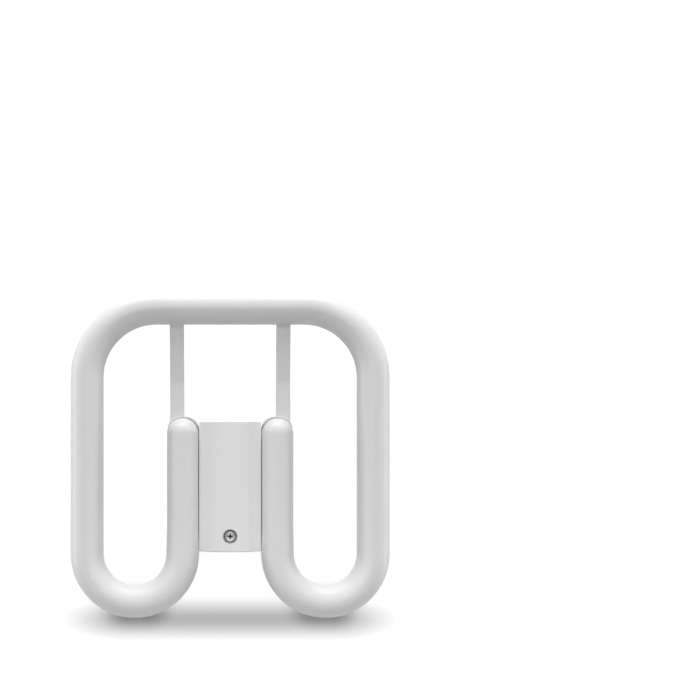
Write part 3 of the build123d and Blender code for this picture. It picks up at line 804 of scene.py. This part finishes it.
class SquareLampSizes(bpy.types.PropertyGroup):
    """Sizes of the lamp's visible pieces."""

    tube_diameter: length("Tube diameter", "Outside of the crossbar, the sides and the bends", 14.2)
    leg_diameter: length("Leg diameter", "Outside of the two legs beside the cap", 13.66)
    tube_wall: length("Tube wall", "Thickness of the moulded tube wall", 1.2)
    corner_radius: length("Corner radius", "Radius of the centre line at the upper corners", 30.0)
    leg_spacing: length("Leg spacing", "Distance between the centre lines of the legs", 41.0)
    leg_top: length("Leg top", "Height of the domed ends above the lamp's middle", 15.88)
    taper_length: length("Taper length", "Length over which a bend narrows to its leg", 12.0)
    lap_depth: length("Lap depth", "How far the front half's lip reaches over the rear half", 1.0)
    lap_wall: length("Lap wall", "Thickness of the lip", 0.6)
    lap_gap: length("Lap gap", "Gap left in the lap joint", 0.08, 0.01, 1.0)
    lap_edge: length("Lap edge", "Chamfer on both rims of the lap joint", 0.12, 0.01, 1.0)
    section_points: count("Section points", "Points round a full tube section", 64, 16, 128)
    corner_steps: count("Corner steps", "Steps round each upper corner", 20, 6, 64)
    bend_steps: count("Bend steps", "Steps round each lower bend", 40, 8, 96)
    dome_steps: count("Dome steps", "Steps round each domed end", 32, 8, 64)
    peg_radius: length("Peg radius", "Radius of the pegs behind the legs", 1.5)
    peg_length: length("Peg length", "From inside the leg's wall to the peg's end", 3.6)
    peg_pitch: length("Peg pitch", "Distance between the two pegs behind a leg", 24.0)
    peg_edge: length("Peg edge", "Rounding of a peg's end", 0.35)
    crease_half: length("Crease half width", "From the middle to where the cover's arch ends", 8.4)
    crest_rise: length("Crest rise", "How far the arch stands over its creases", 1.0)
    crease_fall: length("Crease fall", "How far the cover falls from the crease to its flank", 3.3)
    joint_height: length("Joint height", "Where the cover meets the rear moulding", 20.5)
    joint_edge: length("Joint edge", "Chamfer along the cover's joint line", 0.2)
    cover_wall: length("Cover wall", "Thickness of the cover", 1.5)
    lip_inset: length("Lip inset", "From the cover's side to its locating lip", 0.85)
    corner_edge: length("Corner edge", "Rounding of the cover's upright corners", 0.6)
    rim_edge: length("Rim edge", "Rounding of the cover's end rims", 0.45)
    crest_points: count("Crest points", "Points round the full circle of the arch", 176, 32, 512)
    screw_from_end: length("Screw from end", "From the cap's lower end to the screw", 6.7)
    seat_radius: length("Seat radius", "Radius of the screw's counterbore", 3.1)
    seat_height: length("Seat height", "Height of the face that the screw's head clamps", 22.3)
    seat_round: length("Seat round", "Rounding at the counterbore's foot and under the head", 0.2)
    seat_margin: length("Seat margin", "How far from the screw the arch is cut across", 4.6)
    boss_wall: length("Boss wall", "Thickness of the boss round the counterbore", 1.2)
    boss_foot: length("Boss foot", "Height of the boss's lower end", 20.0)
    pass_radius: length("Passage radius", "Radius of the hole that the screw passes", 1.7)
    screw_shank: length("Screw shank", "Radius of the screw's shank", 1.3)
    screw_crown: length("Screw crown", "How far the screw's head is domed", 0.8)
    screw_point: length("Screw point", "Radius of the screw's blunt end", 0.39)
    point_length: length("Point length", "Length over which the shank narrows to its end", 2.6)
    neck_length: length("Neck length", "Plain part of the shank under the head", 2.2)
    recess_length: length("Recess length", "Length of the cross recess", 3.0)
    recess_width: length("Recess width", "Width of the recess's arms", 0.9)
    recess_depth: length("Recess depth", "Depth of the cross recess", 1.2)
    recess_taper: factor("Recess taper", "Width of the recess's floor over that of its mouth", 0.62)
    well_depth: length("Well depth", "Depth of the recess round the pins", 12.0)
    well_roof: length("Well roof", "Thickness of the well's roof", 1.2)
    pin_radius: length("Pin radius", "Radius of the contact pins", 1.2)
    pin_nose: length("Pin nose", "Rounding of the pins' noses", 0.6)
    pin_neck: length("Pin neck", "Radius of the pins where they pass the roof", 0.9)
    pin_collar: length("Pin collar", "Height of the riveted collars", 0.8)
    pin_tail: length("Pin tail", "Radius of the pins' soldered tails", 0.7)
    chip_window: length("Package rim", "Width of the white rim round each light window", 0.35)
    chip_sink: length("Window depth", "How far each light window lies under its rim", 0.12)
    base_edge: length("Base edge", "Rounding of the rear moulding's edges", 0.15)
    saddle_face: length("Saddle face", "Height of the saddles' front faces", 16.5)
    rim_gap: length("Rim gap", "Clear gap between each dome and the saddle's end", 0.34)
    rim_undercut: length("Rim undercut", "How far the gap reaches in below the dome", 0.95)
    rim_depth: length("Rim depth", "Depth of the gap round each dome", 2.4)


class SquareLampFinish(bpy.types.PropertyGroup):
    """Colours of the lamp's finishes."""

    opal: tint("Opal plastic", "Colour of the tube's front half", (0.80, 0.80, 0.80))
    housing: tint("White plastic", "Colour of the cap and the tube's rear half", (0.89, 0.89, 0.89))
    steel: tint("Zinc-plated steel", "Colour of the cover's screw", (0.80, 0.80, 0.82))
    nickel: tint("Nickel plate", "Colour of the contact pins", (0.66, 0.62, 0.53))
    resin: tint("Package resin", "Colour of the light packages", (0.82, 0.81, 0.78))
    phosphor: tint("Phosphor", "Colour of the light windows", (0.80, 0.56, 0.10))
    board_mask: tint("Light board mask", "Colour of the light board", (0.80, 0.80, 0.78))
    laminate: tint("Driver laminate", "Colour of the driver's board", (0.02, 0.11, 0.035))
    sleeve: tint("Can sleeve", "Colour of the capacitors' sleeves", (0.005, 0.006, 0.01))
    film: tint("Film case", "Colour of the boxed capacitor", (0.60, 0.34, 0.012))
    ferrite: tint("Ferrite", "Colour of the choke's core", (0.015, 0.015, 0.015))
    nylon: tint("Bobbin nylon", "Colour of the choke's bobbin", (0.004, 0.004, 0.004))
    copper: tint("Enamelled wire", "Colour of the choke's winding", (0.48, 0.12, 0.033))
    epoxy: tint("Package epoxy", "Colour of the flat packages", (0.004, 0.004, 0.005))
    cement: tint("Resistor coat", "Colour of the fuse resistor", (0.21, 0.30, 0.18))
    disc: tint("Disc coat", "Colour of the surge disc", (0.007, 0.033, 0.23))
    lead: tint("Lead insulation", "Colour of the supply leads", (0.75, 0.73, 0.68))


class SquareLampStage(bpy.types.PropertyGroup):
    """Camera, lights and floor."""

    camera_distance: length("Camera distance", "From the tube's middle to the camera",
                            450.0, 100.0, 3000.0)
    frame_width: length("Frame width", "Width in view at the tube's middle", 302.96, 50.0, 900.0)
    high_key: power("High key", "Low soft light beyond the crossbar", 5.9)
    broad_key: power("Broad key", "Wide soft light above the crossbar", 1.9)
    overhead: power("Overhead", "Soft light over the lamp", 1.6)
    near_front: power("Near front", "Small light close in front of the bends", 0.077)
    low_left: power("Low left", "Low strip of light on the left", 1.9)
    low_right: power("Low right", "Low strip of light on the right", 1.6)
    side: power("Side", "Soft light on each side", 0.5)
    # Depth of the shadow painted on the floor below the bends
    painted_shadow_depth: factor("Shade depth", "Depth of the floor's shade below the bends", 0.56)
    surround: factor("Surround", "Light from all round", 0.2, 2.0)
    floor_glow: factor("Floor glow", "How far the floor is lifted to white in the picture", 0.86)
    # Weight of the darker painted shadow spots under each bend
    painted_shadow_share: factor("Dark share", "Weight of the darker spots below the bends", 0.6)
    glow_rise: length("Glow rise", "Where the floor starts to rise to white", 250.0, 1.0, 3000.0)
    glow_full: length("Glow full", "Where the floor is white", 700.0, 1.0, 3000.0)


class SQUARELAMP_OT_tube_front(bpy.types.Operator):
    """Model the tube's opal front half with both domed ends"""

    bl_idname = "square_lamp.tube_front"
    bl_label = "Tube Front"

    def execute(self, context):
        piece = tube_half("tube_front", context.scene.square_lamp_sizes, True)
        finish_piece(piece, "Opal plastic", ["tube_diffuser"])
        return {"FINISHED"}


class SQUARELAMP_OT_tube_rear(bpy.types.Operator):
    """Model the tube's rear half and the pegs behind its legs"""

    bl_idname = "square_lamp.tube_rear"
    bl_label = "Tube Rear"

    def execute(self, context):
        sizes = context.scene.square_lamp_sizes
        piece = tube_half("tube_rear", sizes, False)
        top = tube_high.z - (sizes.tube_diameter + sizes.leg_diameter - sizes.tube_wall) / 2
        rings = rounding(sizes.peg_radius, top - sizes.peg_length, sizes.peg_edge)
        rings.append((sizes.peg_radius, top))
        pegs = [turned("peg", x, cap_low.y + sizes.peg_pitch * (step + 0.5), rings, points=32)
                for x in (-sizes.leg_spacing / 2, sizes.leg_spacing / 2) for step in (0, 1)]
        join(piece, pegs)
        finish_piece(piece, "White plastic", ["tube_back"])
        return {"FINISHED"}


class SQUARELAMP_OT_cap_front(bpy.types.Operator):
    """Model the arched front cover"""

    bl_idname = "square_lamp.cap_front"
    bl_label = "Cap Front"

    def execute(self, context):
        piece = cover(context.scene.square_lamp_sizes)
        finish_piece(piece, "White plastic", ["cap_cover"], 30.0, True)
        return {"FINISHED"}


class SQUARELAMP_OT_cap_rear(bpy.types.Operator):
    """Ease the edges of the cap's rear moulding with its saddles and arms"""

    bl_idname = "square_lamp.cap_rear"
    bl_label = "Cap Rear"

    def execute(self, context):
        piece = merged_copy("cap_base", "cap_rear")
        sizes = context.scene.square_lamp_sizes
        groove_saddle_rims(piece, sizes)
        apply_step(piece, "BEVEL", width=sizes.base_edge, segments=2, limit_method="ANGLE",
                   angle_limit=radians(50), use_clamp_overlap=False)
        finish_piece(piece, "White plastic", ["cap_base"], 30.0, True)
        return {"FINISHED"}


class SQUARELAMP_OT_cover_screw(bpy.types.Operator):
    """Turn the cover's screw and cut its cross recess"""

    bl_idname = "square_lamp.cover_screw"
    bl_label = "Cover Screw"

    def execute(self, context):
        piece = screw(context.scene.square_lamp_sizes)
        finish_piece(piece, "Zinc-plated steel", ["cover_screw"], 40.0, True)
        return {"FINISHED"}


class SQUARELAMP_OT_contact_pins(bpy.types.Operator):
    """Turn one contact pin and copy it to the other side"""

    bl_idname = "square_lamp.contact_pins"
    bl_label = "Contact Pins"

    def execute(self, context):
        right = contact_pin(context.scene.square_lamp_sizes)
        left = bpy.data.objects.new("contact_left", right.data.copy())
        context.scene.collection.objects.link(left)
        only(left)
        bpy.ops.transform.translate(value=(-pin_low.x - pin_high.x, 0, 0))
        bpy.ops.object.transform_apply(location=True, rotation=True, scale=True)
        for piece, node in ((right, "contact_pin_right"), (left, "contact_pin_left")):
            finish_piece(piece, "Nickel plate", [node], 40.0)
        return {"FINISHED"}


class SQUARELAMP_OT_light_packages(bpy.types.Operator):
    """Sink a light window into each package on the light board"""

    bl_idname = "square_lamp.light_packages"
    bl_label = "Light Packages"

    def execute(self, context):
        sizes = context.scene.square_lamp_sizes
        piece = merged_copy("led_chips", "light_packages")
        wear(piece, "Package resin", "Light window")
        bpy.ops.object.mode_set(mode="EDIT")
        bpy.ops.mesh.select_mode(type="FACE")
        grid = bmesh.from_edit_mesh(piece.data)
        for face in grid.faces:
            face.select = face.normal.z > FACING_UP
        bmesh.update_edit_mesh(piece.data)
        for thickness, sink in ((sizes.chip_window, 0.0), (sizes.chip_sink, sizes.chip_sink)):
            bpy.ops.mesh.inset(thickness=thickness, depth=-sink, use_individual=True)
        piece.active_material_index = 1
        bpy.ops.object.material_slot_assign()
        object_mode()
        finish_piece(piece, None, ["led_chips"])
        return {"FINISHED"}


class SQUARELAMP_OT_inner_parts(bpy.types.Operator):
    """Give the frame's inner pieces their finishes"""

    bl_idname = "square_lamp.inner_parts"
    bl_label = "Inner Parts"

    def execute(self, context):
        finishes = {
            "light_board_mask": "Light board mask",
            "driver_laminate": "Driver laminate",
            "can_sleeve": "Can sleeve",
            "film_case": "Film case",
            "ferrite": "Ground ferrite",
            "bobbin_black": "Bobbin nylon",
            "winding_copper": "Enamelled wire",
            "package_black": "Package epoxy",
            "resistor_coat": "Resistor coat",
            "disc_coat": "Disc coat",
            "lead_insulation": "Lead insulation",
        }
        for part in frame["record"]["subparts"]:
            if part["material_slot"] in finishes:
                wear(frame["nodes"][part["node"]], finishes[part["material_slot"]])
        return {"FINISHED"}


class SQUARELAMP_OT_finishes(bpy.types.Operator):
    """Make the shared effects and the finishes"""

    bl_idname = "square_lamp.finishes"
    bl_label = "Finishes"

    def execute(self, context):
        moulded_grain()
        tone_drift()
        drawn_streaks()
        board_tracks()
        finish = context.scene.square_lamp_finish
        # Name, colour, range of roughness, grain in millimetres and its height in micrometres
        for name, colour, rough, grain_mm, height, more in (
                ("Opal plastic", finish.opal, (0.34, 0.42), 0.5, 4, {"scatter": 0.2}),
                ("White plastic", finish.housing, (0.36, 0.46), 0.35, 6, {}),
                ("Package resin", finish.resin, (0.35, 0.45), 0.1, 2, {}),
                ("Can sleeve", finish.sleeve, (0.22, 0.32), 0.6, 3, {"drift": 0.15, "coat": 0.3}),
                ("Film case", finish.film, (0.28, 0.4), 0.3, 5, {"drift": 0.08}),
                ("Bobbin nylon", finish.nylon, (0.4, 0.55), 0.25, 8, {"drift": 0.2}),
                ("Disc coat", finish.disc, (0.2, 0.34), 0.5, 10, {"drift": 0.1, "coat": 0.4}),
                ("Lead insulation", finish.lead, (0.35, 0.48), 0.4, 4, {"drift": 0.05})):
            plastic(name, colour, rough, grain_mm, height * MICRON, **more)
        # Name, colour, tone of the flecks over it, their size in millimetres, range of roughness
        for name, colour, fleck, size_mm, rough in (
                ("Light window", finish.phosphor, 0.8, 0.08, (0.25, 0.4)),
                ("Ground ferrite", finish.ferrite, 1.8, 0.15, (0.5, 0.65)),
                ("Package epoxy", finish.epoxy, 2.0, 0.06, (0.45, 0.6))):
            speckled(name, colour, scaled(colour, fleck), size_mm, rough)
        # Name, colour, tone of the tracks over it, their pitch in millimetres, range of roughness
        for name, colour, track, pitch_mm, rough in (
                ("Light board mask", finish.board_mask, 0.94, 3.2, (0.25, 0.35)),
                ("Driver laminate", finish.laminate, 1.7, 1.6, (0.3, 0.42))):
            board(name, colour, scaled(colour, track), pitch_mm, rough)
        steel_with_painted_shade("Zinc-plated steel", finish.steel, rough=(0.42, 0.58), streak_mm=0.25,
                   screw_y=cap_low.y + context.scene.square_lamp_sizes.screw_from_end)
        metal("Nickel plate", finish.nickel, rough=(0.2, 0.34), stretch=(1.0, 1.0, 0.08),
              streak_mm=0.12)
        banded("Enamelled wire", finish.copper, scaled(finish.copper, 0.45), axis="Z",
               pitch=0.3 * MM, sharp=0.4, rough=(0.2, 0.32), rise=60 * MICRON, metallic=1.0)
        banded("Resistor coat", finish.cement, scaled(finish.cement, 0.35), axis="Y",
               pitch=2.2 * MM, sharp=0.05, rough=(0.35, 0.5), rise=4 * MICRON)
        return {"FINISHED"}


class SQUARELAMP_OT_stage(bpy.types.Operator):
    """Set the floor, the lights and the camera"""

    bl_idname = "square_lamp.stage"
    bl_label = "Stage"

    def execute(self, context):
        stage = context.scene.square_lamp_stage
        object_mode()
        bpy.ops.mesh.primitive_plane_add(size=3.0, location=(0, 0, cad_box[0][2]))
        floor = begin("floor")
        object_mode()
        floor_material(stage)
        wear(floor, "Floor")

        # Each light's name, its place, its width and height, and its power
        for name, place, size, watts in (
                ("high key", (0, 0.87, 0.25), (0.9, 0.35), stage.high_key),
                ("broad key", (0, 0.70, 0.45), (1.0, 0.6), stage.broad_key),
                ("near front", (0, -0.125, 0.16), (0.22, 0.08), stage.near_front),
                ("overhead", (0, 0.25, 1.1), (0.3, 0.3), stage.overhead),
                ("left", (-0.75, 0, 0.25), (0.4, 0.8), stage.side),
                ("right", (0.75, 0, 0.25), (0.4, 0.8), stage.side),
                ("low left", (-0.75, 0, 0.035), (0.8, 0.07), stage.low_left),
                ("low right", (0.75, 0, 0.035), (0.8, 0.07), stage.low_right)):
            soft_light(name + " light", place, size, watts)

        world = bpy.data.worlds.new("surround")
        context.scene.world = world
        world.use_nodes = True
        tree = world.node_tree
        seen = add(tree, "ShaderNodeLightPath").outputs["Is Camera Ray"]
        level = ramp(tree, seen, 0.0, 1.0, stage.surround)
        feed(tree, tree.nodes["Background"], {"Strength": level, "Color": WHITE})

        tube_z = tube_high.z - context.scene.square_lamp_sizes.tube_diameter / 2
        camera_z = tube_z + stage.camera_distance
        bpy.ops.object.camera_add(location=(0, 0, camera_z), rotation=(0, 0, 0))
        camera = bpy.context.object
        camera.name = "camera"
        camera.data.sensor_width = SENSOR
        camera.data.lens = SENSOR * stage.camera_distance / stage.frame_width
        camera.data.shift_x = LAMP_LEFT / PICTURE
        camera.data.shift_y = LAMP_DOWN / PICTURE
        context.scene.camera = camera
        context.scene.view_settings.view_transform = "Standard"
        return {"FINISHED"}


class SQUARELAMP_PT_panel(bpy.types.Panel):
    """Lists the steps that build the lamp"""

    bl_idname = "SQUARELAMP_PT_panel"
    bl_label = "Square Lamp"
    bl_space_type = "VIEW_3D"
    bl_region_type = "UI"
    bl_category = "Square Lamp"

    def draw(self, context):
        for step in steps:
            self.layout.operator(step.bl_idname)


steps = (SQUARELAMP_OT_finishes, SQUARELAMP_OT_tube_front, SQUARELAMP_OT_tube_rear,
         SQUARELAMP_OT_cap_front, SQUARELAMP_OT_cap_rear, SQUARELAMP_OT_cover_screw,
         SQUARELAMP_OT_contact_pins, SQUARELAMP_OT_light_packages, SQUARELAMP_OT_inner_parts,
         SQUARELAMP_OT_stage)
groups = {"square_lamp_sizes": SquareLampSizes, "square_lamp_finish": SquareLampFinish,
          "square_lamp_stage": SquareLampStage}
classes = (*groups.values(), *steps, SQUARELAMP_PT_panel)


def register():
    for item in classes:
        bpy.utils.register_class(item)
    for name, group in groups.items():
        setattr(bpy.types.Scene, name, PointerProperty(type=group))


def unregister():
    for name in groups:
        delattr(bpy.types.Scene, name)
    for item in reversed(classes):
        bpy.utils.unregister_class(item)


def main():
    """Build every piece in order."""
    register()
    for step in steps:
        space, name = step.bl_idname.split(".")
        getattr(getattr(bpy.ops, space), name)()


if __name__ == "__main__":
    main()
